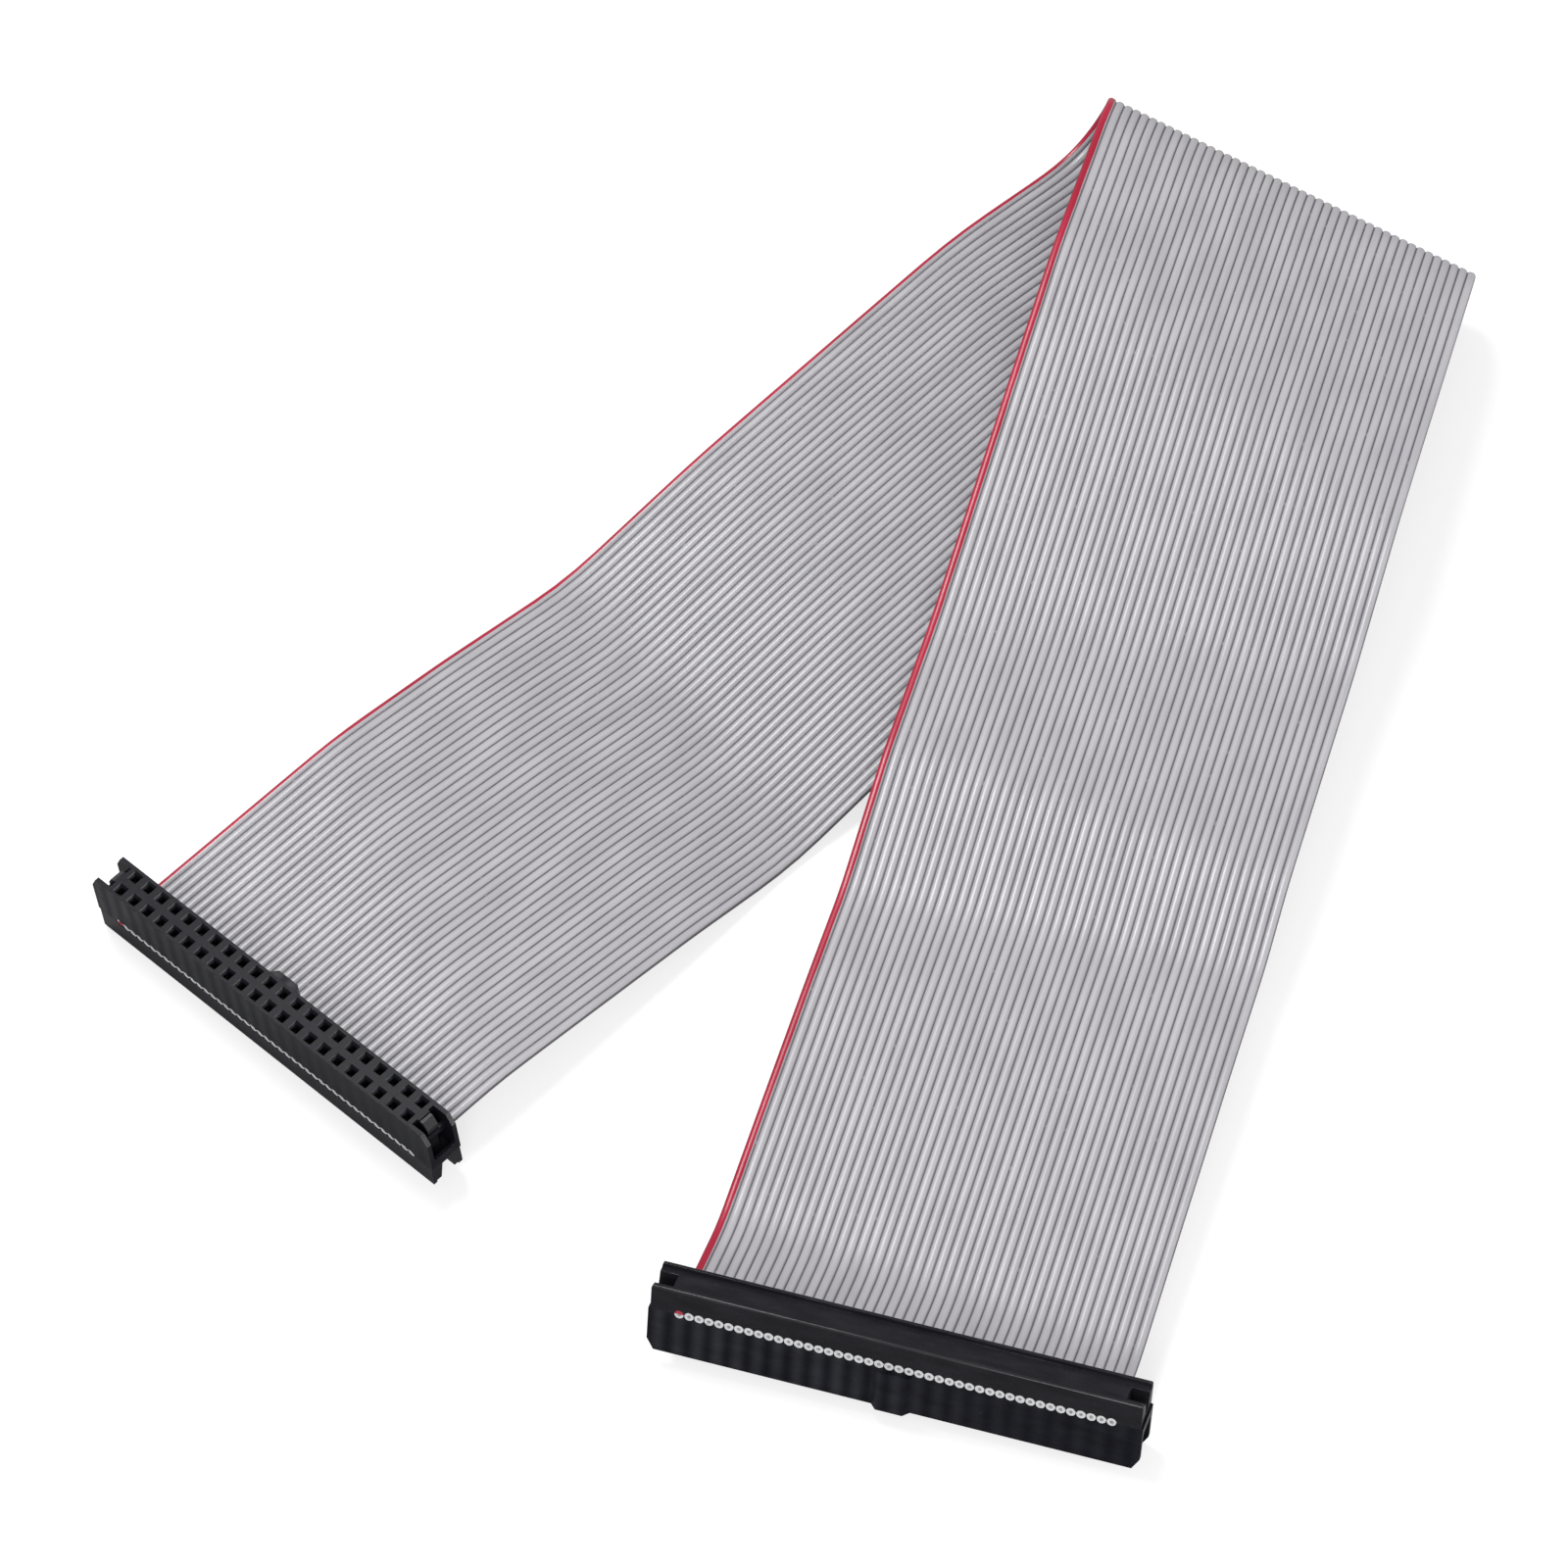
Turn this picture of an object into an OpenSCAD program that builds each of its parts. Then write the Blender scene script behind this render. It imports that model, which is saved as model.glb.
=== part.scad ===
// Ribbon cable: a flat cable folded over once, with an insulation-displacement socket on each end.
// Lengths are in millimetres and angles in degrees.
// The origin is the middle of the mating face of socket A. X runs from the marked wire to the last
// wire, Y is the way the cable leaves socket A, and Z is up.
// Each socket is drawn in its own frame: x along the wires' row, y along the cable, z from its
// mating face to the top of its cover.

/* [Flat cable] */
// Number of wires, side by side
wire_count = 44; // [20:2:44]
// Distance from one wire to the next
wire_pitch = 1; // [0.8:0.05:1]
// Height of the insulation over a wire
wire_d = 0.9; // [0.7:0.05:1]
// Thickness of the web between two wires
web_t = 0.4; // [0.2:0.05:0.5]
// Diameter of a wire's copper core
core_d = 0.36; // [0.2:0.02:0.4]
// Length of cable from the middle of one socket to the middle of the other
cable_len = 311.5; // [308:0.5:330]

/* [Socket housing] */
// Width of a socket, along the cable
socket_w = 3.9; // [3.7:0.1:5]
// Height from the mating face to the plane of the wires
face_to_wires = 5.2; // [4.8:0.1:7]
// Distance between the two rows of contacts
row_gap = 2; // [1.8:0.1:2.2]
// Distance from the last contact column to the end of the housing
end_reach = 3.6; // [3.4:0.1:5]
// Length of the bevel at each end of the mating face
corner_run = 0.7; // [0.2:0.1:1]
// Height of that bevel
corner_rise = 1.3; // [0.5:0.1:2]
// Side of a square socket opening at the mating face
mouth = 1.2; // [1:0.05:1.3]
// Side of the throat that the opening narrows to
throat = 0.8; // [0.6:0.05:0.9]
// Depth of the sloping lead-in
lead_in = 0.35; // [0.2:0.05:0.6]
// Thickness of the mating wall
mating_wall = 0.9; // [0.7:0.1:1.2]
// Play between moulded pieces, and between them and the cable
play = 0.03; // [0.01:0.01:0.05]

/* [Polarising key] */
// Width of the key at its foot
key_w = 3.9; // [2:0.1:6]
// How far the key stands out from the housing
key_out = 0.7; // [0.3:0.1:1]
// Width of each of its sloping flanks
key_flank = 0.6; // [0.2:0.1:0.9]
// Distance from the top of the key to the plane of the wires
key_below_wires = 0.7; // [0.6:0.1:2]

/* [Latch ends] */
// Distance from the last contact column to the latch well
well_gap = 1.4; // [1.2:0.1:1.6]
// How far the well reaches back beside the latch
side_slot = 0.25; // [0.1:0.05:0.3]
// Thickness of the housing's side walls at the well
side_wall = 0.5; // [0.4:0.05:0.8]
// Thickness of the housing's end wall
end_wall = 0.45; // [0.3:0.05:0.8]
// Height of the end wall below the plane of the wires
sill_rise = 1; // [0.6:0.1:1.5]
// Radius of the lower corners of the window in the end wall
window_r = 0.5; // [0.2:0.1:0.8]
// Width of a latch leg
leg_w = 1.4; // [1:0.1:1.6]
// Thickness of a latch leg
leg_t = 0.5; // [0.4:0.05:0.7]
// How far the hook stands out from its leg
hook_out = 0.45; // [0.2:0.05:0.5]
// Height of the hook
hook_rise = 1.5; // [1:0.1:2]
// Depth of the catch bar under the hook
bar_rise = 0.8; // [0.5:0.1:1.2]

/* [Cover] */
// Height of the cover over the plane of the wires
cover_rise = 2.9; // [2.6:0.1:4]
// How far each end of the cover stays inside the housing's end
cover_inset = 0.2; // [0:0.05:0.3]
// Thickness of the long flanges along the cover's top
flange_t = 0.45; // [0.3:0.05:0.6]
// Depth of the channel between the flanges
channel_depth = 0.5; // [0.3:0.1:1]
// Radius of the flanges' outer edges
flange_r = 0.2; // [0.1:0.05:0.25]
// Radius of the flanges' ends, seen from the side
flange_end_r = 0.35; // [0.1:0.05:0.45]
// Length of the pocket at each end of the channel
pocket_len = 1.9; // [1:0.1:2.2]
// Width of that pocket at the cover's top
pocket_w = 2; // [1.8:0.1:2.4]
// Width of its floor
pocket_foot = 0.9; // [0.6:0.1:1.6]
// Thickness of the cover left under the pocket
pocket_floor = 0.55; // [0.4:0.05:0.8]

/* [Contacts] */
// Thickness of the contact strip
contact_t = 0.25; // [0.2:0.01:0.3]
// Width of the fork that cuts into a wire
fork_w = 0.86; // [0.7:0.02:0.9]
// Width of the slot in that fork
fork_slot = 0.28; // [0.2:0.02:0.34]
// How far the fork's points pass the plane of the wires
fork_rise = 0.55; // [0.5:0.05:0.8]
// Opening between the tines that grip a pin
pin_gap = 0.42; // [0.3:0.02:0.48]
// Width of one of those tines at its root
tine_w = 0.36; // [0.25:0.02:0.4]
// Height of the contact's body between the fork and the tines
contact_body = 0.7; // [0.5:0.05:0.8]
// Distance from the contact's shoulder to the plane of the wires
shoulder_drop = 1.8; // [1.6:0.1:2]

/* [Lie on the floor] */
// Angle at which socket A leans back on the edge where the cable leaves it
lean = 14.5; // [5:0.5:20]
// Angle at which the last wire's end of socket A dips to the floor
dip = 0.8; // [0:0.1:3]

/* [Hidden] */

// The cable is flat but for these bends, chosen by hand along its middle. Each has the length at its
// middle, the length it is spread over, its angle, and how far its crease lies askew.
bends = [
    [9, 8, 17.5, -7],
    [23, 18, -0.5, -5],
    [42, 12, -2, 1],
    [54, 8, 11, 1],
    [67, 8, -9, -7],
    [89, 14, 7, 7],
    [124, 16, -13, -30],
    [159, 30, -181, -14],
    [201, 20, 12, 28],
    [235, 20, 4, 15],
    [255, 18, -16.5, 14],
    [271, 10, 2.5, 9],
    [292, 14, 9, 24]
];
// Creases that a gentle bend and the fold are worked out with
gentle_creases = 6;
fold_creases = 24;
// A bend sharper than this is the fold
fold_from = 90;
// Angle that one row of facets takes up at most
facet_turn = 8;
// Length over which the cable swells from its squeezed thickness to its full one
squeeze_run = 0.3;
// How far the cable's cut end lies inside the side of socket B
sunk_end = 0.25;

ribbon_w = wire_count * wire_pitch;
column_pitch = 2 * wire_pitch;
column_count = wire_count / 2;
last_column = (column_count - 1) * column_pitch / 2;
body_half = last_column + end_reach;
cover_half = body_half - cover_inset;
cover_top = face_to_wires + cover_rise;
land_gap = web_t / 2 + play;
shoulder_z = face_to_wires - shoulder_drop;
well_from = last_column + well_gap;
well_to = body_half - end_wall;
well_half = socket_w / 2 - side_wall;
leg_from = well_from + 2 * play;
leg_top = 5 * play;
hook_under = leg_top + hook_rise;
hook_slope = 0.6 * hook_rise;
leg_tip = 0.8 * leg_t;
fork_points = face_to_wires + fork_rise;
fork_shoulders = face_to_wires + fork_rise / 2;
tine_from = mating_wall + 0.1;
grip_from = mating_wall + 0.5;
grip_to = mating_wall + 1;
tine_root = mating_wall + 1.4;
tine_relief = 0.06;
tip_in = 0.15;
tip_out = 0.3;
cavity = column_pitch - 0.6 * wire_pitch;
cavity_depth = row_gap / 2;
eps = 0.01;
$fn = 32;

plastic = "#26262b";
metal = "#b9a36a";

// Places along the row
function wire_x(i) = (i - (wire_count - 1) / 2) * wire_pitch;
function column_x(k) = (k - (column_count - 1) / 2) * column_pitch;

// Turn by angle about the crease that crosses the cable's middle at length s
function shift(v) = [[1, 0, 0, v[0]], [0, 1, 0, v[1]], [0, 0, 1, v[2]], [0, 0, 0, 1]];
function turn_x(a) = [[1, 0, 0, 0], [0, cos(a), -sin(a), 0], [0, sin(a), cos(a), 0], [0, 0, 0, 1]];
function turn_y(a) = [[cos(a), 0, sin(a), 0], [0, 1, 0, 0], [-sin(a), 0, cos(a), 0], [0, 0, 0, 1]];
function turn_z(a) = [[cos(a), -sin(a), 0, 0], [sin(a), cos(a), 0, 0], [0, 0, 1, 0], [0, 0, 0, 1]];
function crease_turn(s, slant, angle) =
    shift([0, s, 0]) * turn_z(slant) * turn_x(angle) * turn_z(-slant) * shift([0, -s, 0]);
function at(m, p) = let(q = m * [p[0], p[1], p[2], 1]) [q[0], q[1], q[2]];

// Every crease: [length, slant, angle, whether a row of facets ends on it]. A bend starts and ends
// softly, so its angle is shared out as a squared sine.
function creases_of(b) = abs(b[2]) > fold_from ? fold_creases : gentle_creases;
function rows_of(b) = abs(b[2]) > fold_from ? fold_creases / 2 : ceil(abs(b[2]) / facet_turn);
creases = [
    for (b = bends)
        let(n = creases_of(b), rows = rows_of(b))
            for (j = [0 : n - 1])
                [
                    b[0] + b[1] * ((j + 0.5) / n - 0.5),
                    b[3],
                    b[2] * 2 / n * pow(sin(180 * (j + 0.5) / n), 2),
                    floor((j + 0.5) * rows / n) != floor((j - 0.5) * rows / n) || j == 0
                ]
];

// Placement of socket A, then of the cable after each crease
place_a = turn_y(dip) * turn_x(-lean);
cable_start = place_a * shift([0, 0, face_to_wires]);
function walk(i, m) =
    i == len(creases)
        ? [m]
        : let(c = creases[i]) concat([m], walk(i + 1, m * crease_turn(c[0], c[1], c[2])));
stretches = walk(0, cable_start);
cable_end = stretches[len(creases)];
place_b = cable_end * shift([0, cable_len, -face_to_wires]);

// Rings of the cable's surface: [placement, length, slant, share of its thickness]. On a crease the
// ring lies half-way through the turn. Between a housing and its cover the cable is as thin as the
// web, because their lands bite into it.
squeezed = web_t / wire_d;
clamp_half = socket_w / 2 + play;
rings = concat(
    [
        [cable_start, -socket_w / 2, 0, squeezed],
        [cable_start, clamp_half, 0, squeezed],
        [cable_start, clamp_half + squeeze_run, 0, 1]
    ],
    [for (i = [0 : len(creases) - 1])
        let(c = creases[i])
            if (c[3]) [stretches[i] * crease_turn(c[0], c[1], c[2] / 2), c[0], c[1], 1]],
    [
        [cable_end, cable_len - clamp_half - squeeze_run, 0, 1],
        [cable_end, cable_len - clamp_half, 0, squeezed],
        [cable_end, cable_len + socket_w / 2 - sunk_end, 0, squeezed]
    ]
);

// Outline across a run of wires, from wire first to wire last: rounded off at a free edge of the
// cable, and flat against the next wire elsewhere. It goes along the top and back underneath.
function edge_half(i) = i == 0 || i == wire_count ? 0 : web_t / 2;
function across(first, last) = concat(
    [[wire_x(first) - wire_pitch / 2, edge_half(first)], [wire_x(first), wire_d / 2]],
    [if (last > first) [wire_x(last), wire_d / 2]],
    [[wire_x(last) + wire_pitch / 2, edge_half(last + 1)]],
    [if (edge_half(last + 1) > 0) [wire_x(last) + wire_pitch / 2, -edge_half(last + 1)]],
    [if (last > first) [wire_x(last), -wire_d / 2]],
    [[wire_x(first), -wire_d / 2]],
    [if (edge_half(first) > 0) [wire_x(first) - wire_pitch / 2, -edge_half(first)]]
);

// Skin stretched over the rings for one outline
module swept(outline) {
    n = len(outline);
    last = (len(rings) - 1) * n;
    points = [
        for (r = rings)
            for (p = outline)
                at(r[0], [p[0], r[1] + p[0] * tan(r[2]), p[1] * r[3]])
    ];
    sides = [
        for (k = [0 : len(rings) - 2])
            for (i = [0 : n - 1])
                let(a = k * n + i, b = k * n + (i + 1) % n)
                    each [[a, b, b + n], [a, b + n, a + n]]
    ];
    polyhedron(
        points,
        concat(
            [[for (i = [n - 1 : -1 : 0]) i]],
            sides,
            [[for (i = [0 : n - 1]) last + i]]
        ),
        convexity = 10
    );
}

// A shape drawn in x and z, made thick along y
module along_y(t) {
    rotate([90, 0, 0])
        linear_extrude(height = t, center = true)
            children();
}

// A shape drawn in y and z, made long along x
module along_x(l) {
    rotate([90, 0, 90])
        linear_extrude(height = l, center = true)
            children();
}

module both_ends() {
    children();
    mirror([1, 0, 0]) children();
}

// The space that the clamped cable takes, seen along it
module cable_gap() {
    translate([-ribbon_w / 2 - play, face_to_wires - land_gap])
        square([ribbon_w + 2 * play, 2 * land_gap]);
    for (i = [0 : wire_count - 1])
        translate([wire_x(i), face_to_wires])
            circle(r = wire_d / 2 + play);
}

module housing_outline() {
    difference() {
        polygon([
            [-body_half + corner_run, 0],
            [body_half - corner_run, 0],
            [body_half, corner_rise],
            [body_half, face_to_wires],
            [-body_half, face_to_wires],
            [-body_half, corner_rise]
        ]);
        cable_gap();
    }
}

module key() {
    translate([0, -socket_w / 2, 0])
        linear_extrude(height = face_to_wires - key_below_wires)
            polygon([
                [-key_w / 2, eps],
                [-key_w / 2 + key_flank, -key_out],
                [key_w / 2 - key_flank, -key_out],
                [key_w / 2, eps]
            ]);
}

// Pyramid lead-ins of one row of openings
module lead_ins() {
    intersection() {
        along_y(column_pitch)
            for (k = [0 : column_count - 1])
                translate([column_x(k), 0])
                    funnel();
        along_x(2 * body_half)
            funnel();
    }
}

module funnel() {
    polygon([
        [-mouth / 2, 0],
        [mouth / 2, 0],
        [throat / 2, lead_in],
        [-throat / 2, lead_in]
    ]);
}

// What is cut out of the housing for one row of contacts; side is -1 for the odd wires' row
module contact_row_space(side) {
    translate([0, side * row_gap / 2, 0]) {
        lead_ins();
        translate([0, 0, lead_in - eps])
            linear_extrude(height = mating_wall - lead_in + 2 * eps)
                for (k = [0 : column_count - 1])
                    translate([column_x(k), 0])
                        square(throat, center = true);
        translate([0, 0, mating_wall])
            linear_extrude(height = shoulder_z - mating_wall)
                for (k = [0 : column_count - 1])
                    translate([column_x(k), 0])
                        square([cavity, cavity_depth], center = true);
        translate([0, 0, shoulder_z - eps])
            linear_extrude(height = face_to_wires - shoulder_z)
                for (k = [0 : column_count - 1])
                    translate([column_x(k) + side * (contact_left() - contact_right()) / 2, 0])
                        square([contact_left() + contact_right() + 2 * play, contact_t + 2 * play],
                               center = true);
    }
}

// Reach of a contact's body on the side of its own wire, and on the other side
function contact_left() = wire_pitch / 2 + fork_w / 2 + play;
function contact_right() = cavity / 2 + 2 * play;

// The well that a latch leg drops into, with the window in the end wall
module latch_well() {
    difference() {
        union() {
            translate([well_from, -well_half, -eps])
                cube([well_to - well_from, 2 * well_half, face_to_wires + 2 * eps]);
            for (s = [-1, 1])
                translate([well_from - side_slot, s * (well_half + leg_w / 2 + play) / 2, face_to_wires / 2])
                    translate([side_slot / 2, 0, 0])
                        cube([side_slot + eps, well_half - leg_w / 2 - play, face_to_wires + 2 * eps],
                             center = true);
            translate([well_to + end_wall / 2, 0, 0])
                along_x(end_wall + 2 * eps)
                    window();
        }
        translate([leg_from + leg_t + 2 * play, -well_half - eps, hook_under + play])
            cube([hook_out + play, 2 * well_half + 2 * eps, bar_rise]);
    }
}

module window() {
    sill = face_to_wires - sill_rise;
    translate([-well_half, -eps])
        square([2 * well_half, sill - window_r + eps]);
    translate([-well_half + window_r, 0])
        square([2 * (well_half - window_r), sill]);
    for (s = [-1, 1])
        translate([s * (well_half - window_r), sill - window_r])
            circle(r = window_r);
}

module housing() {
    color(plastic)
        difference() {
            union() {
                along_y(socket_w)
                    housing_outline();
                key();
            }
            contact_row_space(-1);
            contact_row_space(1);
            both_ends()
                latch_well();
        }
}

module cover_outline() {
    difference() {
        union() {
            translate([-cover_half, face_to_wires])
                square([2 * cover_half, cover_rise - flange_end_r]);
            translate([-cover_half + flange_end_r, face_to_wires])
                square([2 * (cover_half - flange_end_r), cover_rise]);
            for (s = [-1, 1])
                translate([s * (cover_half - flange_end_r), cover_top - flange_end_r])
                    circle(r = flange_end_r);
        }
        cable_gap();
    }
}

// Section across the cover, with the channel between its flanges
module cover_section() {
    half = socket_w / 2;
    difference() {
        union() {
            translate([-half, 0])
                square([2 * half, cover_top - flange_r]);
            translate([-half + flange_r, 0])
                square([2 * (half - flange_r), cover_top]);
            for (s = [-1, 1])
                translate([s * (half - flange_r), cover_top - flange_r])
                    circle(r = flange_r);
        }
        translate([-half + flange_t, cover_top - channel_depth])
            square([2 * (half - flange_t), channel_depth + eps]);
    }
}

// The pocket seen along the cover: a narrow floor, with walls that lean out to the top
module pocket_outline() {
    polygon([
        [-pocket_foot / 2, face_to_wires + pocket_floor],
        [pocket_foot / 2, face_to_wires + pocket_floor],
        [pocket_w / 2, cover_top + eps],
        [-pocket_w / 2, cover_top + eps]
    ]);
}

module latch_leg() {
    along_y(leg_w)
        polygon([
            [leg_from, face_to_wires + eps],
            [leg_from, leg_top],
            [leg_from + leg_tip, leg_top],
            [leg_from + leg_t + hook_out, leg_top + hook_slope],
            [leg_from + leg_t + hook_out, hook_under],
            [leg_from + leg_t, hook_under],
            [leg_from + leg_t, face_to_wires + eps]
        ]);
}

module cover() {
    color(plastic)
        difference() {
            union() {
                intersection() {
                    along_y(socket_w)
                        cover_outline();
                    along_x(2 * body_half)
                        cover_section();
                }
                both_ends()
                    latch_leg();
            }
            both_ends()
                translate([cover_half - pocket_len / 2 + eps, 0, 0])
                    along_x(pocket_len)
                        pocket_outline();
            for (side = [-1, 1])
                translate([0, side * row_gap / 2, face_to_wires])
                    linear_extrude(height = fork_rise + 2 * play)
                        for (k = [0 : column_count - 1])
                            translate([column_x(k) + side * wire_pitch / 2, 0])
                                square([fork_w + 2 * play, contact_t + 2 * play], center = true);
        }
}

// One contact in x and z, with its fork on the side of its own wire (towards +x)
module contact_shape() {
    fork_x = wire_pitch / 2;
    grip = pin_gap / 2;
    difference() {
        union() {
            translate([-contact_right() + play, shoulder_z])
                square([contact_left() + contact_right() - 2 * play, contact_body]);
            translate([fork_x, shoulder_z])
                polygon([
                    [-fork_w / 2, 0],
                    [fork_w / 2, 0],
                    [fork_w / 2, fork_shoulders - shoulder_z],
                    [fork_w / 4, fork_points - shoulder_z],
                    [-fork_w / 4, fork_points - shoulder_z],
                    [-fork_w / 2, fork_shoulders - shoulder_z]
                ]);
        }
        translate([fork_x - fork_slot / 2, shoulder_z + contact_body + fork_slot / 2])
            square([fork_slot, fork_points]);
        translate([fork_x, shoulder_z + contact_body + fork_slot / 2])
            circle(d = fork_slot);
        translate([fork_x, fork_points])
            polygon([[-fork_w / 4, eps], [fork_w / 4, eps], [0, -fork_w / 2]]);
    }
    for (s = [-1, 1])
        scale([s, 1])
            polygon([
                [grip + tine_relief, shoulder_z + eps],
                [grip + tine_relief, grip_to],
                [grip, grip_from],
                [grip + tip_in, tine_from],
                [grip + tip_out, tine_from],
                [grip + tine_relief + tine_w, tine_root],
                [grip + tine_relief + tine_w, shoulder_z + eps]
            ]);
}

// Contacts of one row; side is -1 for the odd wires' row and 1 for the even wires' row
module contacts(side) {
    color(metal)
        for (k = [0 : column_count - 1])
            translate([column_x(k), side * row_gap / 2, 0])
                scale([side, 1, 1])
                    along_y(contact_t)
                        contact_shape();
}

// Bare ends of the wires' copper cores, as far as the cable lies in a socket
module conductors(sunk) {
    color("#b87333")
        for (i = [0 : wire_count - 1])
            translate([wire_x(i), -sunk / 2, face_to_wires])
                rotate([90, 0, 0])
                    cylinder(d = core_d, h = socket_w - sunk, center = true);
}

module ribbon_grey() {
    color("#b9b7bd")
        swept(across(1, wire_count - 1));
}

module ribbon_red() {
    color("#cc2f4c")
        swept(across(0, 0));
}

module on_a() {
    multmatrix(place_a) children();
}

module on_b() {
    multmatrix(place_b) children();
}

on_a() housing();  // housing_a
on_a() cover();  // cover_a
on_a() contacts(-1);  // contacts_a_odd
on_a() contacts(1);  // contacts_a_even
on_b() housing();  // housing_b
on_b() cover();  // cover_b
on_b() contacts(-1);  // contacts_b_odd
on_b() contacts(1);  // contacts_b_even
ribbon_grey();
ribbon_red();
on_a() conductors(0);  // conductors_a
on_b() conductors(sunk_end);  // conductors_b
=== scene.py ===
from math import cos, pi, radians, sin, tan

import bmesh
import bpy
from mathutils import Matrix, Vector


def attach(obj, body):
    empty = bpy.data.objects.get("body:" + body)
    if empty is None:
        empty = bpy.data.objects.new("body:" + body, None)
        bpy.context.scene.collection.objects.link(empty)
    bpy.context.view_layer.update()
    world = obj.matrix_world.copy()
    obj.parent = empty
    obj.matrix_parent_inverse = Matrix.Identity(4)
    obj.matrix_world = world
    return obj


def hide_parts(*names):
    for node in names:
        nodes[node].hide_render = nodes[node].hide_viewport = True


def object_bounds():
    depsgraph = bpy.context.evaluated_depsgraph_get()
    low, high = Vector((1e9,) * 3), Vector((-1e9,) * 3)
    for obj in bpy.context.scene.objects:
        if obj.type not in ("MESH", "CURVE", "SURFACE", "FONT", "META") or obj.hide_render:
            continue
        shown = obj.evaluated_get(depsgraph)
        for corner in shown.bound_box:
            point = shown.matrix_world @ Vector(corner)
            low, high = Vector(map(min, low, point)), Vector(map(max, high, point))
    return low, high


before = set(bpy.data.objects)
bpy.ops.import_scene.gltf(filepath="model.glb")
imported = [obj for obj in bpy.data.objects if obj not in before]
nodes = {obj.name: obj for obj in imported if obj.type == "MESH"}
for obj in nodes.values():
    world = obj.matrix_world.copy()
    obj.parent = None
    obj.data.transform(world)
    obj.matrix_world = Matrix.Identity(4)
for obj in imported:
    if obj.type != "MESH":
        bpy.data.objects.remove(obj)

cad_box = [list(corner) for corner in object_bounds()]
scene = bpy.context.scene

# --- The table, the light and the camera
# The cable lies on a plain pale table under a large soft lamp, with white all round it and weaker
# lamps in front and low on the right. The camera stands in front, to the right and above. The
# table shows white but keeps the shadow.
scene.view_settings.view_transform = "Standard"
table_gap = 0.00005
table_reach = 2.5
table_grey = 0.4
glow_where_seen = 0.72
surroundings_as_light = 0.36
surroundings_where_seen = 1.0

table_shape = bmesh.new()
bmesh.ops.create_grid(table_shape, x_segments=1, y_segments=1, size=table_reach)
bmesh.ops.translate(
    table_shape, verts=table_shape.verts, vec=(-0.03, 0.07, cad_box[0][2] - table_gap))
table_mesh = bpy.data.meshes.new("table")
table_shape.to_mesh(table_mesh)
table_shape.free()
table = bpy.data.objects.new("table", table_mesh)
scene.collection.objects.link(table)

white_table = bpy.data.materials.new("white table")
white_table.use_nodes = True
table_nodes = white_table.node_tree
table_finish = table_nodes.nodes["Principled BSDF"]
table_finish.inputs["Base Color"].default_value = (table_grey, table_grey, table_grey, 1)
table_finish.inputs["Roughness"].default_value = 0.7
table_finish.inputs["Emission Color"].default_value = (1, 1, 1, 1)
table_light_path = table_nodes.nodes.new("ShaderNodeLightPath")
table_glow = table_nodes.nodes.new("ShaderNodeMath")
table_glow.operation = "MULTIPLY"
table_glow.inputs[1].default_value = glow_where_seen
table_nodes.links.new(table_light_path.outputs["Is Camera Ray"], table_glow.inputs[0])
table_nodes.links.new(table_glow.outputs[0], table_finish.inputs["Emission Strength"])
table_mesh.materials.append(white_table)

surroundings = bpy.data.worlds.new("white surroundings")
surroundings.use_nodes = True
scene.world = surroundings
air = surroundings.node_tree
air_light = air.nodes["Background"]
air_light.inputs["Color"].default_value = (1, 1, 1, 1)
air_path = air.nodes.new("ShaderNodeLightPath")
air_seen = air.nodes.new("ShaderNodeMath")
air_seen.operation = "MAXIMUM"
air.links.new(air_path.outputs["Is Camera Ray"], air_seen.inputs[0])
air.links.new(air_path.outputs["Is Transmission Ray"], air_seen.inputs[1])
air_level = air.nodes.new("ShaderNodeMapRange")
air_level.inputs["To Min"].default_value = surroundings_as_light
air_level.inputs["To Max"].default_value = surroundings_where_seen
air.links.new(air_seen.outputs[0], air_level.inputs["Value"])
air.links.new(air_level.outputs["Result"], air_light.inputs["Strength"])


def soft_lamp(name, place, aim, width, power):
    lamp = bpy.data.lights.new(name, "AREA")
    lamp.shape = "DISK"
    lamp.size = width
    lamp.energy = power
    holder = bpy.data.objects.new(name, lamp)
    scene.collection.objects.link(holder)
    holder.location = place
    holder.rotation_euler = (Vector(aim) - Vector(place)).to_track_quat("-Z", "Y").to_euler()


soft_lamp("lamp above", (-0.345, 0.322, 0.804), (-0.03, 0.07, 0), 0.36, 4.8)
soft_lamp("lamp in front", (0.15, -0.7, 0.5), (-0.03, 0.05, 0), 0.4, 2.8)
soft_lamp("low lamp at the right", (0.66, 0.02, 0.12), (-0.06, 0.03, 0), 0.3, 1.4)

looked_at = (-0.03264, 0.06879, 0)
camera_distance = 0.69259
camera_turn, camera_tilt, camera_roll = 19.634, 38.709, -3.021
lens = bpy.data.cameras.new("camera")
lens.sensor_width = 36
lens.lens = 154.4
camera = bpy.data.objects.new("camera", lens)
scene.collection.objects.link(camera)
camera.matrix_world = (
    Matrix.Translation(looked_at)
    @ Matrix.Rotation(radians(camera_turn), 4, "Z")
    @ Matrix.Rotation(radians(camera_tilt), 4, "X")
    @ Matrix.Rotation(radians(camera_roll), 4, "Z")
    @ Matrix.Translation((0, 0, camera_distance))
)
scene.camera = camera

# --- The flat cable
# 44 stranded wires side by side in one extrusion of soft grey PVC, with a thin web between each
# two, and the first wire marked red along its outer side. It leaves socket A, waves a little,
# folds over once and comes back to socket B, which takes its end from above.
to_mm = 1000
wire_count = 44
wire_pitch = 0.001
wire_height = 0.0009
web_thickness = 0.0004
cable_length = 0.3115
socket_width = 0.0039
wires_above_face = 0.0052
a_turn, a_dip = 0.8, -14.5
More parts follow.
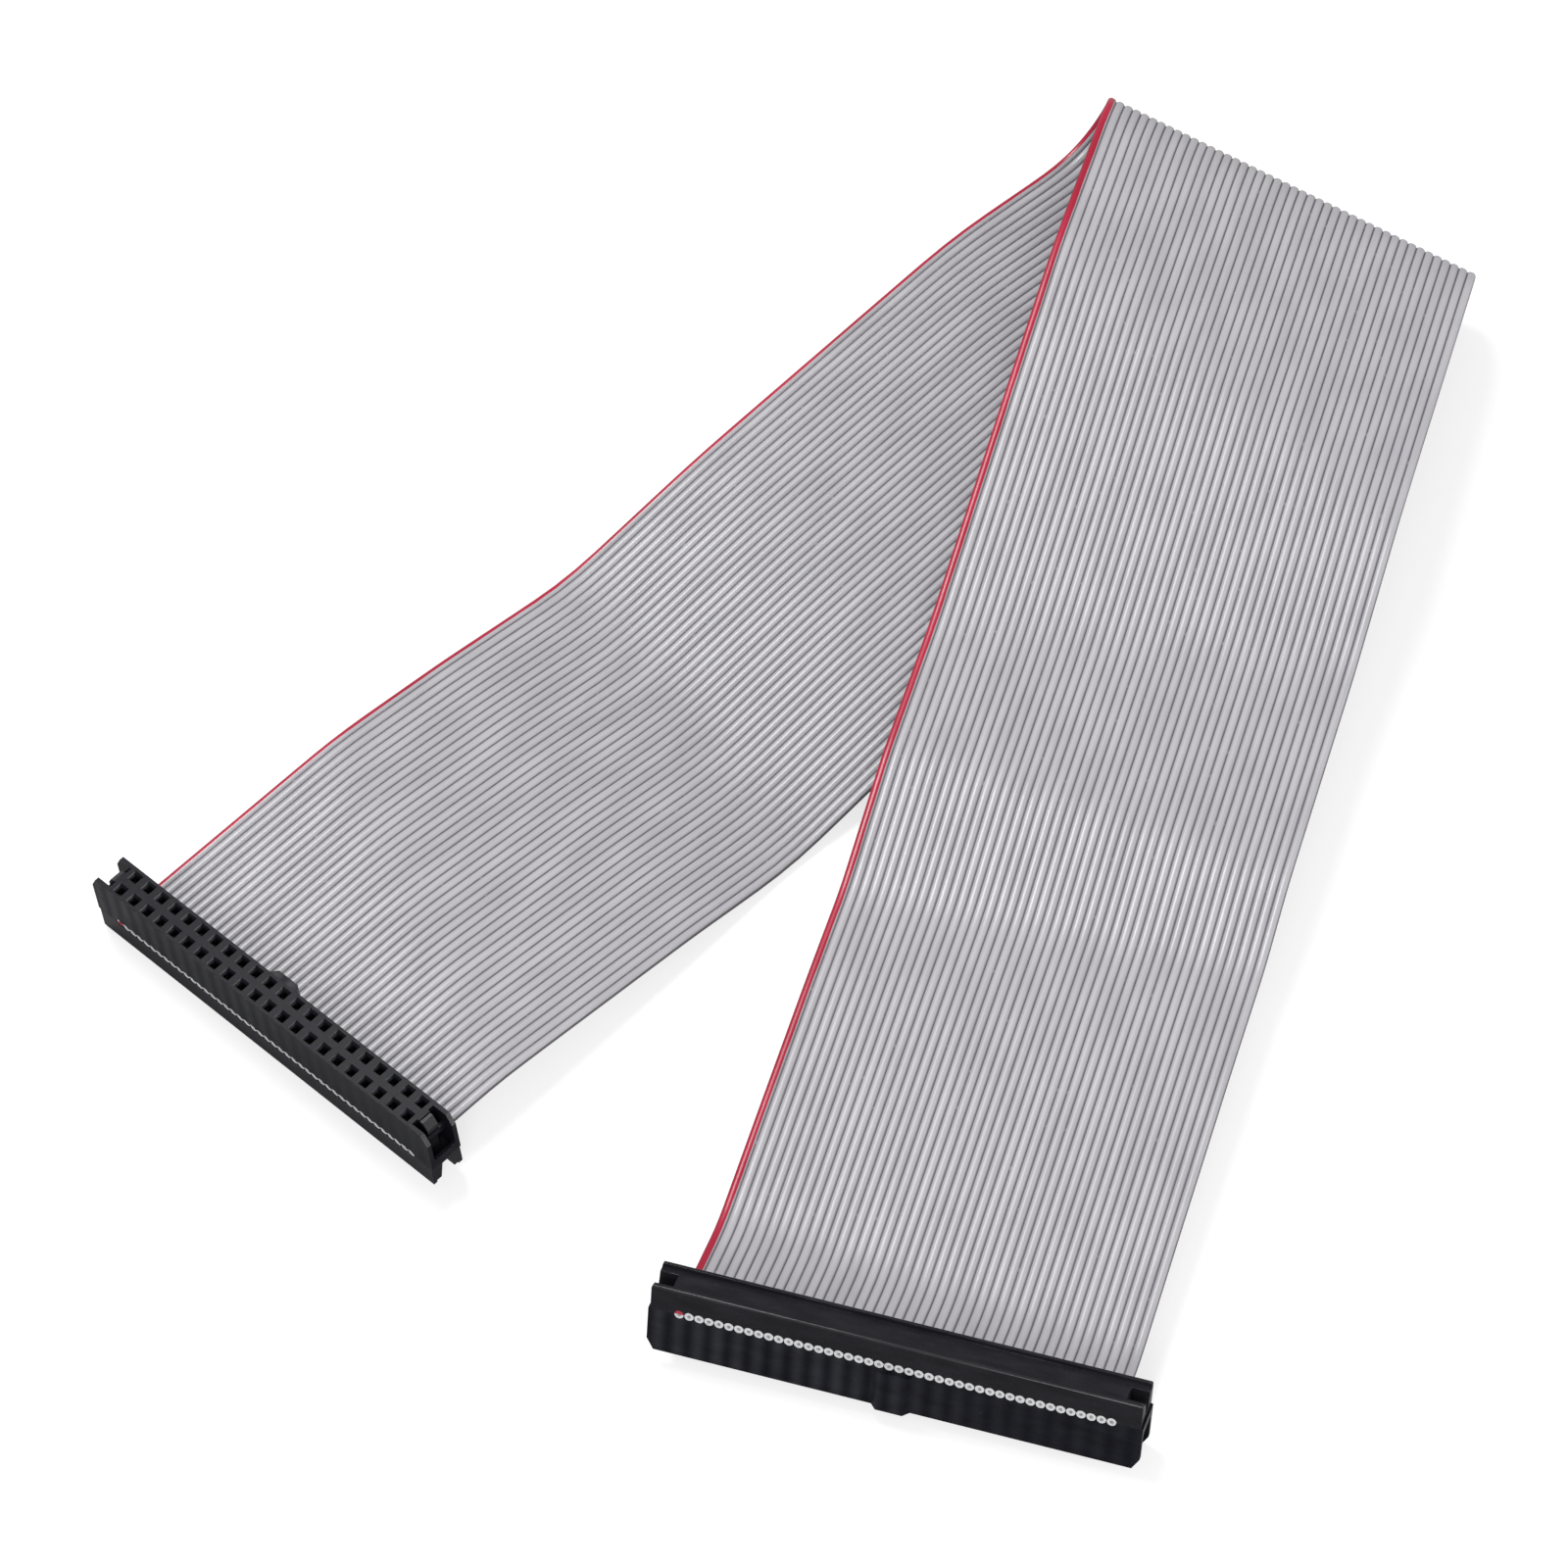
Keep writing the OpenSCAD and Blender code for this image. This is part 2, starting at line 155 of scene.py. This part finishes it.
# Each bend: the length at its middle, the length it is spread over, its angle, and how far its
# crease lies askew
bends = [
    (0.009, 0.008, 17.5, -7),
    (0.023, 0.018, -0.5, -5),
    (0.042, 0.012, -2, 1),
    (0.054, 0.008, 11, 1),
    (0.067, 0.008, -9, -7),
    (0.089, 0.014, 7, 7),
    (0.124, 0.016, -13, -30),
    (0.159, 0.030, -181, -14),
    (0.201, 0.020, 12, 28),
    (0.235, 0.020, 4, 15),
    (0.255, 0.018, -16.5, 14),
    (0.271, 0.010, 2.5, 9),
    (0.292, 0.014, 9, 24),
]
fold_from = 90
gentle_creases = 6
fold_creases = 24
place_a = Matrix.Rotation(radians(a_turn), 4, "Y") @ Matrix.Rotation(radians(a_dip), 4, "X")
cable_start = place_a @ Matrix.Translation((0, 0, wires_above_face))


def crease_turn(length, slant, angle):
    return (
        Matrix.Translation((0, length, 0))
        @ Matrix.Rotation(radians(slant), 4, "Z")
        @ Matrix.Rotation(radians(angle), 4, "X")
        @ Matrix.Rotation(radians(-slant), 4, "Z")
        @ Matrix.Translation((0, -length, 0))
    )


def lie_of_cable(creases_in_fold):
    """The rings that the cable passes through, each on a crease, and the placement at its end."""
    placement = cable_start.copy()
    rings = []
    for middle, spread, angle, slant in bends:
        creases = creases_in_fold if abs(angle) > fold_from else gentle_creases
        for k in range(creases):
            part = (k + 0.5) / creases
            length = middle + spread * (part - 0.5)
            turn = angle * 2 / creases * sin(pi * part) ** 2
            rings.append((placement @ crease_turn(length, slant, turn / 2), length, slant))
            placement = placement @ crease_turn(length, slant, turn)
    return rings, placement


def wire_middle(wire):
    return (wire - (wire_count - 1) / 2) * wire_pitch


# Half of the outline over one wire: a broad crown, and steep flanks down to the web. The cable's
# two edges run on past the shoulder of the last wire to its full reach.
roundness = 2.5
reach = wire_pitch * 0.482
shoulder = reach * 0.985
web_edge = reach * (1 - (web_thickness / wire_height) ** roundness) ** (1 / roundness)
crown_steps = [-1, -0.88, -0.62, -0.2, 0.2, 0.62, 0.88, 1]


def crown_height(offset):
    return wire_height / 2 * (1 - min(1, abs(offset) / reach) ** roundness) ** (1 / roundness)


upper = [(wire_middle(0) - reach, 0), (wire_middle(0) - shoulder, crown_height(shoulder))]
for wire in range(wire_count):
    for step in crown_steps:
        offset = web_edge * step
        upper.append((wire_middle(wire) + offset, crown_height(offset)))
upper.append((wire_middle(wire_count - 1) + shoulder, crown_height(shoulder)))
lower = [(-x, -z) for x, z in upper]
outline = upper + lower

# The cable itself stops a little way inside each socket, where the cut ends of its wires take over.
# Its fold is drawn with twice as many creases as the CAD's, so it looks rounder.
cut_at = socket_width / 2 - 0.0006
out_at = socket_width / 2 + 0.0004
rings, cable_end = lie_of_cable(2 * fold_creases)
rings = (
    [(cable_start, -cut_at, 0), (cable_start, out_at, 0)]
    + rings
    + [(cable_end, cable_length - out_at, 0), (cable_end, cable_length + cut_at, 0)]
)

cable = bmesh.new()
lie = cable.verts.layers.float_vector.new("lie")
placement, length, slant = rings[0]
edge_loop = []
for x, z in outline:
    vertex = cable.verts.new(placement @ Vector((x, length, z)))
    vertex[lie] = Vector((x, length, z)) * to_mm
    edge_loop.append(vertex)
edges = [cable.edges.new((edge_loop[k - 1], edge_loop[k])) for k in range(len(edge_loop))]
for placement, length, slant in rings[1:]:
    grown = bmesh.ops.extrude_edge_only(cable, edges=edges)["geom"]
    new = {v for v in grown if isinstance(v, bmesh.types.BMVert)}
    edges = [
        e for e in grown
        if isinstance(e, bmesh.types.BMEdge) and e.verts[0] in new and e.verts[1] in new
    ]
    for vertex in new:
        x, z = vertex[lie].x / to_mm, vertex[lie].z / to_mm
        along = length + x * tan(radians(slant))
        vertex.co = placement @ Vector((x, along, z))
        vertex[lie] = Vector((x, along, z)) * to_mm
bmesh.ops.holes_fill(cable, edges=[e for e in cable.edges if e.is_boundary], sides=0)
bmesh.ops.recalc_face_normals(cable, faces=cable.faces)
first_wire_ends = (wire_middle(0) + wire_pitch / 2) * to_mm
for face in cable.faces:
    face.smooth = len(face.verts) == 4
    across = sum(vertex[lie].x for vertex in face.verts) / len(face.verts)
    face.material_index = 1 if across < first_wire_ends else 0
cable_mesh = bpy.data.meshes.new("ribbon")
cable.to_mesh(cable_mesh)
cable.free()
ribbon = bpy.data.objects.new("ribbon", cable_mesh)
scene.collection.objects.link(ribbon)


class Level:
    """A number that changes over a surface. Arithmetic on it adds the Math nodes for it."""

    def __init__(self, socket):
        self.socket = socket

    def sum_of(self, operation, *others):
        tree = self.socket.id_data
        node = tree.nodes.new("ShaderNodeMath")
        node.operation = operation
        for slot, value in zip(node.inputs, others):
            if isinstance(value, Level):
                tree.links.new(value.socket, slot)
            else:
                slot.default_value = value
        return Level(node.outputs[0])

    def __add__(self, other): return self.sum_of("ADD", self, other)
    def __radd__(self, other): return self.sum_of("ADD", other, self)
    def __sub__(self, other): return self.sum_of("SUBTRACT", self, other)
    def __rsub__(self, other): return self.sum_of("SUBTRACT", other, self)
    def __mul__(self, other): return self.sum_of("MULTIPLY", self, other)
    def __rmul__(self, other): return self.sum_of("MULTIPLY", other, self)
    def __abs__(self): return self.sum_of("ABSOLUTE", self)
    def fraction(self): return self.sum_of("FRACT", self)
    def sine(self): return self.sum_of("SINE", self)
    def least(self, other): return self.sum_of("MINIMUM", self, other)

    def clear(self, low, high):
        """0 below low, 1 above high, and softly between them"""
        tree = self.socket.id_data
        node = tree.nodes.new("ShaderNodeMapRange")
        node.interpolation_type = "SMOOTHSTEP"
        tree.links.new(self.socket, node.inputs["Value"])
        node.inputs["From Min"].default_value = low
        node.inputs["From Max"].default_value = high
        return Level(node.outputs["Result"])


class Finish:
    """A material under construction, with the node that its surface ends in."""

    def __init__(self, name, **constants):
        self.material = bpy.data.materials.new(name)
        self.material.use_nodes = True
        self.tree = self.material.node_tree
        self.shader = self.tree.nodes["Principled BSDF"]
        for socket, value in constants.items():
            self.shader.inputs[socket.replace("_", " ")].default_value = value

    def node(self, kind, settings, values):
        made = self.tree.nodes.new(kind)
        for name, value in settings.items():
            setattr(made, name, value)
        for name, value in values.items():
            if isinstance(value, Level):
                value = value.socket
            if isinstance(value, bpy.types.NodeSocket):
                self.tree.links.new(value, made.inputs[name])
            else:
                made.inputs[name].default_value = value
        return made

    def own_place(self, attribute):
        """Where a point lies in the piece's own frame, in millimetres"""
        source = self.node("ShaderNodeAttribute", {"attribute_name": attribute}, {})
        place = source.outputs["Vector"]
        parts = self.node("ShaderNodeSeparateXYZ", {}, {"Vector": place})
        return place, [Level(parts.outputs[k]) for k in range(3)]

    def stretched(self, place, scale):
        made = self.node("ShaderNodeMapping", {}, {"Vector": place, "Scale": scale})
        return made.outputs["Vector"]

    def noise(self, place, scale, detail=2.0, roughness=0.5):
        settings = {"Vector": place, "Scale": scale, "Detail": detail, "Roughness": roughness}
        return Level(self.node("ShaderNodeTexNoise", {}, settings).outputs["Fac"])

    def blend(self, amount, first, second):
        """The first colour where amount is 0, the second where it is 1"""
        factor, first_colour, second_colour, blended = 0, 6, 7, 2
        values = {factor: amount, first_colour: first, second_colour: second}
        return self.node("ShaderNodeMix", {"data_type": "RGBA"}, values).outputs[blended]

    def feed(self, name, value):
        socket = value.socket if isinstance(value, Level) else value
        self.tree.links.new(socket, self.shader.inputs[name])

    def relief(self, height, depth, strength):
        values = {"Height": height, "Distance": depth, "Strength": strength}
        self.feed("Normal", self.node("ShaderNodeBump", {}, values).outputs["Normal"])


def insulation(name, marked):
    """Extruded PVC: fine drawn streaks along each wire, painted shade in the grooves, a soft gloss.
    The marked wire is printed red on its outer side, further over its top than underneath."""
    pvc_darkest, pvc_palest = (0.445, 0.435, 0.465, 1), (0.525, 0.515, 0.545, 1)
    ink_darkest, ink_palest = (0.4, 0.003, 0.03, 1), (0.52, 0.01, 0.052, 1)
    painted_groove_shade, groove_width, dirt_gloss_loss = (0.1, 0.095, 0.105, 1), 0.15, 0.3
    streak_depth = 0.00001
    least_inked, more_on_top, uneven, ink_edge = 0.5, 0.24, 0.12, 0.03

    finish = Finish(name, Specular_IOR_Level=0.62)
    place, (across, _, height) = finish.own_place("lie")
    # The webs lie at whole millimetres, and the added number keeps all of them above 0
    from_web = (across + 100).fraction()
    from_web = from_web.least(1 - from_web)
    streaks = finish.noise(finish.stretched(place, (9, 0.12, 9)), 1.0, 3.0)
    clouds = finish.noise(finish.stretched(place, (0.35, 0.12, 0.35)), 1.0, 2.0)
    grain = finish.noise(place, 14.0, 2.0)
    tone = (streaks * 0.6 + clouds * 0.8 - 0.45).clear(0.0, 0.5)
    colour = finish.blend(tone, pvc_darkest, pvc_palest)
    if marked:
        ink = finish.blend(tone, ink_darkest, ink_palest)
        waver = finish.noise(finish.stretched(place, (1, 0.2, 1)), 1.0, 3.0)
        inked = height.clear(-0.15, 0.15) * more_on_top + waver * uneven + least_inked
        from_edge = across + wire_count / 2
        colour = finish.blend((inked - from_edge).clear(-ink_edge, ink_edge), colour, ink)
    tacks = finish.noise(finish.stretched(place, (1, 0.9, 1)), 1.0, 0.0).clear(0.77, 0.79)
    # The grooves between the wires get painted shade in their colour, a little less where a tack
    # mark breaks them; they are also rougher.
    groove = (1 - from_web.clear(0.0, groove_width)) * (1 - tacks * 0.4)
    colour = finish.blend(groove, colour, painted_groove_shade)
    finish.feed("Base Color", colour)
    finish.feed("Roughness", 0.24 + streaks * 0.08 + grain * 0.05 + groove * dirt_gloss_loss)
    finish.relief(streaks * 0.6 + grain * 0.4, streak_depth, 0.6)
    return finish.material


cable_mesh.materials.append(insulation("grey insulation", False))
cable_mesh.materials.append(insulation("red insulation", True))
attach(ribbon, "root")
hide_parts("ribbon_grey", "ribbon_red")

# --- The housings
# Each socket's body is one black moulding of glass-filled thermoplastic, with two rows of square
# openings, a key on one side, and a window at each end where the cover's latch snaps in.
place_b = (
    lie_of_cable(fold_creases)[1] @ Matrix.Translation((0, cable_length, -wires_above_face)))
edge_radius = 0.00004
same_point = 0.000001
flat_within, eased_over, smooth_under = 0.5, 35, 50
# Faces narrower than this are facets of a rounding, and shade as one curve. Roundings and the small
# sloping lead-ins of the openings come out of the mould with a polish.
rounded_width = 0.00011
lead_in_area = 0.000001
lead_in_least, lead_in_most = 0.3, 0.7


def moulded(name, node, place, plastic):
    """The node's own shape with its moulded edges eased, and each point's place in the socket."""
    shape = bmesh.new()
    shape.from_mesh(nodes[node].data)
    bmesh.ops.remove_doubles(shape, verts=shape.verts, dist=same_point)
    bmesh.ops.dissolve_limit(
        shape, angle_limit=radians(flat_within), verts=shape.verts, edges=shape.edges)
    eased = [e for e in shape.edges if e.is_manifold and e.calc_face_angle() > radians(eased_over)]
    bmesh.ops.bevel(
        shape, geom=eased, offset=edge_radius, offset_type="OFFSET", affect="EDGES", segments=2,
        profile=0.5, clamp_overlap=True, material=-1)
    shape.normal_update()
    polish = shape.faces.layers.float.new("polish")
    upright = place.to_3x3() @ Vector((0, 0, 1))
    for face in shape.faces:
        area = face.calc_area()
        slope = abs(face.normal.dot(upright))
        face.smooth = area < rounded_width * max(e.calc_length() for e in face.edges)
        lead_in = area < lead_in_area and lead_in_least < slope < lead_in_most
        face[polish] = 1.0 if face.smooth or lead_in else 0.0
    for edge in shape.edges:
        edge.smooth = edge.is_manifold and edge.calc_face_angle() < radians(smooth_under)
    in_socket = shape.verts.layers.float_vector.new("in_socket")
    back = place.inverted()
    for vertex in shape.verts:
        vertex[in_socket] = back @ vertex.co * to_mm
    mesh = bpy.data.meshes.new(name)
    shape.to_mesh(mesh)
    shape.free()
    mesh.materials.append(plastic)
    piece = bpy.data.objects.new(name, mesh)
    scene.collection.objects.link(piece)
    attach(piece, "root")
    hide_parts(node)
    return piece


def black_moulding(name, waves, sheen, darkest, palest):
    """Satin black plastic: a fine eroded grain, faint flow marks, sink marks over the cavities, in
    relief and as painted light and shade bands.
    """
    painted_sink_light_and_shade, speck_shade = (0.047, 0.048, 0.055, 1), (0.1, 0.1, 0.11, 1)
    side_face = 1.9
    sinks_fade_from, sinks_full_at = -14, 8
    relief_depth = 0.00006

    finish = Finish(name, Specular_IOR_Level=sheen, Coat_Roughness=0.22)
    place, (across, along, _) = finish.own_place("in_socket")
    grain = finish.noise(place, 9.0, 3.0, 0.6)
    flow = finish.noise(finish.stretched(place, (0.25, 0.8, 0.8)), 1.0, 3.0)
    specks = finish.noise(place, 5.0, 0.0).clear(0.82, 0.84)
    tone = (grain * 0.5 + flow * 0.7 - 0.35).clear(0.0, 0.6)
    colour = finish.blend(tone, darkest, palest)
    # The sink marks are only on the socket's two long sides, and stronger towards the marked wire.
    # Besides their relief, they are painted into the colour as bands of painted light and shade.
    on_side = (abs(along) - side_face).clear(0.0, 0.02) * (flow * 0.8 + 0.2)
    towards_first = 0.3 + 0.7 * (across * -1).clear(sinks_fade_from, sinks_full_at)
    sink_relief_and_painted_bands = ((across * pi).sine() * 0.5 + 0.5) * (on_side * towards_first) * waves
    # Painted light and shade: the sink-mark bands are blended into the colour.
    colour = finish.blend(sink_relief_and_painted_bands, colour, painted_sink_light_and_shade)
    colour = finish.blend(specks * 0.3, colour, speck_shade)
    finish.feed("Base Color", colour)
    finish.feed("Roughness", 0.15 + grain * 0.1 + flow * 0.08)
    polish = finish.node("ShaderNodeAttribute", {"attribute_name": "polish"}, {}).outputs["Fac"]
    finish.feed("Coat Weight", Level(polish) * (0.5 + flow * 0.6))
    finish.relief(grain * 0.05 + sink_relief_and_painted_bands * 1.5, relief_depth, 0.7)
    return finish.material


housing_plastic = black_moulding(
    "black housing plastic", 1.0, 0.054, (0.0072, 0.0074, 0.0112, 1), (0.0165, 0.0168, 0.0236, 1))
moulded("socket_a_housing", "housing_a", place_a, housing_plastic)
housing_b = moulded("socket_b_housing", "housing_b", place_b, housing_plastic)

# --- The covers
# A bar of the same black plastic presses the cable onto the contacts. Its two legs snap into the
# housing, and it has a channel along its top with a pocket at each end.
# Painted light: the cover's copy of the same black plastic is given paler colours than the
# housing's.
cover_plastic_painted_paler = black_moulding(
    "black cover plastic painted paler", 0.0, 0.12, (0.0131, 0.013, 0.0166, 1), (0.028, 0.0276, 0.034, 1))
moulded("socket_a_cover", "cover_a", place_a, cover_plastic_painted_paler)
cover_b = moulded("socket_b_cover", "cover_b", place_b, cover_plastic_painted_paler)

# --- The contacts
# Plated bronze strip, stamped into a fork that bites into one wire and two tines that grip a pin.
# One stands behind each square opening, pushed into its cavity from the cable's side.
plating_painted_dark = Finish("plated contact strip painted dark", Metallic=1.0)
contact_place = plating_painted_dark.node("ShaderNodeTexCoord", {}, {}).outputs["Object"]
contact_bands = plating_painted_dark.noise(contact_place, 2500.0, 2.0)
contact_stain = plating_painted_dark.noise(contact_place, 900.0, 3.0).clear(0.35, 0.65)
# Painted shade: the plating's colours are far darker than bronze, for the shade deep inside the
# square openings.
plating_painted_dark.feed(
    "Base Color", plating_painted_dark.blend(contact_stain, (0.16, 0.12, 0.07, 1), (0.3, 0.25, 0.17, 1)))
plating_painted_dark.feed("Roughness", 0.22 + contact_bands * 0.2)
plating_painted_dark.relief(contact_bands, 0.000004, 0.5)
for node in ("contacts_a_odd", "contacts_a_even", "contacts_b_odd", "contacts_b_even"):
    nodes[node].data.materials.clear()
    nodes[node].data.materials.append(plating_painted_dark.material)

# --- The wires' copper cores
# Seven thin strands of copper, bundled in each wire and pierced by its contact. They show only
# where the knife cut the cable off at the sockets' sides, a little sunk into the insulation.
strand_radius = 0.000055
sunk_core = 0.0003
sunk_end = 0.00011


def strands(length):
    """The seven strands of one wire, standing along z"""
    outer_strands = 6
    bundle = bmesh.new()
    places = [Vector((0, 0, 0))]
    for k in range(outer_strands):
        turn = 2 * pi / outer_strands * k
        places.append(Vector((cos(turn), sin(turn), 0)) * 2 * strand_radius)
    for place in places:
        bmesh.ops.create_cone(
            bundle, cap_ends=True, segments=8, radius1=strand_radius, radius2=strand_radius,
            depth=length, matrix=Matrix.Translation(place))
    mesh = bpy.data.meshes.new("strands of one wire")
    bundle.to_mesh(mesh)
    bundle.free()
    return mesh


copper = Finish("copper strands", Metallic=1.0)
copper_place = copper.node("ShaderNodeTexCoord", {}, {}).outputs["Object"]
copper_tarnish = copper.noise(copper_place, 6000.0, 3.0)
copper.feed(
    "Base Color", copper.blend(copper_tarnish, (0.14, 0.06, 0.035, 1), (0.45, 0.24, 0.15, 1)))
copper.feed("Roughness", 0.3 + copper_tarnish * 0.3)
copper.relief(copper_tarnish, 0.000005, 0.6)


def wires_in_socket(name, shape, placement, middle, materials, along_turn):
    """One copy of a shape on every wire where the cable lies in a socket. The marked wire's copy
    takes the last material."""
    row = bmesh.new()
    at_wire = row.verts.layers.float_vector.new("at_wire")
    for wire in range(wire_count):
        start = len(row.verts)
        row.from_mesh(shape)
        row.verts.ensure_lookup_table()
        for vertex in row.verts[start:]:
            vertex[at_wire] = along_turn @ vertex.co * to_mm + Vector((wire, 0, 0))
        if wire == 0:
            for face in row.faces:
                face.material_index = len(materials) - 1
        bmesh.ops.transform(
            row, verts=row.verts[start:],
            matrix=placement @ Matrix.Translation((wire_middle(wire), middle, 0)) @ along_turn)
    mesh = bpy.data.meshes.new(name)
    row.to_mesh(mesh)
    row.free()
    for material in materials:
        mesh.materials.append(material)
    piece = bpy.data.objects.new(name, mesh)
    scene.collection.objects.link(piece)
    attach(piece, "root")
    return piece


lengthways = Matrix.Rotation(radians(90), 4, "X")
core_length = socket_width - 2 * sunk_core
cores_a = wires_in_socket(
    "cores_in_socket_a", strands(core_length), cable_start, 0, [copper.material], lengthways)
cores_b = wires_in_socket(
    "cores_in_socket_b", strands(core_length - sunk_end), cable_end,
    cable_length - sunk_end / 2, [copper.material], lengthways)
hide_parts("conductors_a")
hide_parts("conductors_b")

# --- The wires' cut ends
# The knife leaves each wire's insulation as a pale ring round its core, a short sleeve with an
# eased rim. It is flush with the side of socket A, and a little way inside socket B.
sleeve_radius = 0.000472
sleeve_depth = 0.0008
rim_width = 0.00005
wall_width = 0.00023
bore_taper = 0.00001
bore_depth = 0.9 * sleeve_depth
sleeve = bmesh.new()
bmesh.ops.create_cone(
    sleeve, cap_ends=True, segments=24, radius1=sleeve_radius, radius2=sleeve_radius,
    depth=sleeve_depth)
front = max(sleeve.faces, key=lambda f: f.calc_center_median().z)
bmesh.ops.bevel(
    sleeve, geom=list(front.edges), offset=rim_width, offset_type="OFFSET", affect="EDGES",
    segments=3, profile=0.5, clamp_overlap=True, material=-1)
front = max((f for f in sleeve.faces if len(f.verts) > 4), key=lambda f: f.calc_center_median().z)
bmesh.ops.inset_individual(sleeve, faces=[front], thickness=wall_width, depth=0)
bmesh.ops.inset_individual(sleeve, faces=[front], thickness=bore_taper, depth=-bore_depth)
sleeve_mesh = bpy.data.meshes.new("cut end of one wire")
sleeve.to_mesh(sleeve_mesh)
sleeve.free()


def cut_insulation(name, marked):
    """PVC where the knife went through: pale, drawn out in fine marks, with brownish smears here
    and there.
    """
    cut_darkest, cut_palest, smear_shade = (
        (0.78, 0.79, 0.83, 1), (0.95, 0.955, 0.97, 1), (0.4, 0.34, 0.3, 1))
    ink_darkest, ink_palest = (0.45, 0.02, 0.05, 1), (0.68, 0.06, 0.1, 1)

    finish = Finish(name, Specular_IOR_Level=0.4)
    place, (_, _, height) = finish.own_place("at_wire")
    knife_marks = finish.noise(finish.stretched(place, (9, 3, 2)), 1.0, 2.0)
    smears = finish.noise(place, 2.3, 2.0)
    colour = finish.blend(knife_marks, cut_darkest, cut_palest)
    colour = finish.blend(smears.clear(0.6, 0.75) * 0.5, colour, smear_shade)
    if marked:
        ink = finish.blend(knife_marks, ink_darkest, ink_palest)
        colour = finish.blend((height + smears * 0.2).clear(0.08, 0.2), colour, ink)
    finish.feed("Base Color", colour)
    finish.feed("Roughness", 0.4 + knife_marks * 0.25)
    finish.relief(knife_marks, 0.00001, 0.5)
    return finish.material


cut_materials = [
    cut_insulation("cut insulation", False),
    cut_insulation("cut marked insulation", True),
]
facing_back = Matrix.Rotation(radians(90), 4, "X")
facing_on = Matrix.Rotation(radians(-90), 4, "X")
sleeve_middle = (socket_width - sleeve_depth) / 2
ends_a = wires_in_socket(
    "cut_ends_a", sleeve_mesh, cable_start, -sleeve_middle, cut_materials, facing_back)
ends_b = wires_in_socket(
    "cut_ends_b", sleeve_mesh, cable_end, cable_length + sleeve_middle - sunk_end,
    cut_materials, facing_on)

# The point on the cable's middle line at each of its rings. Socket B sits on the cable's far end.
[placement @ Vector((0, length, 0)) for placement, length, slant in rings]
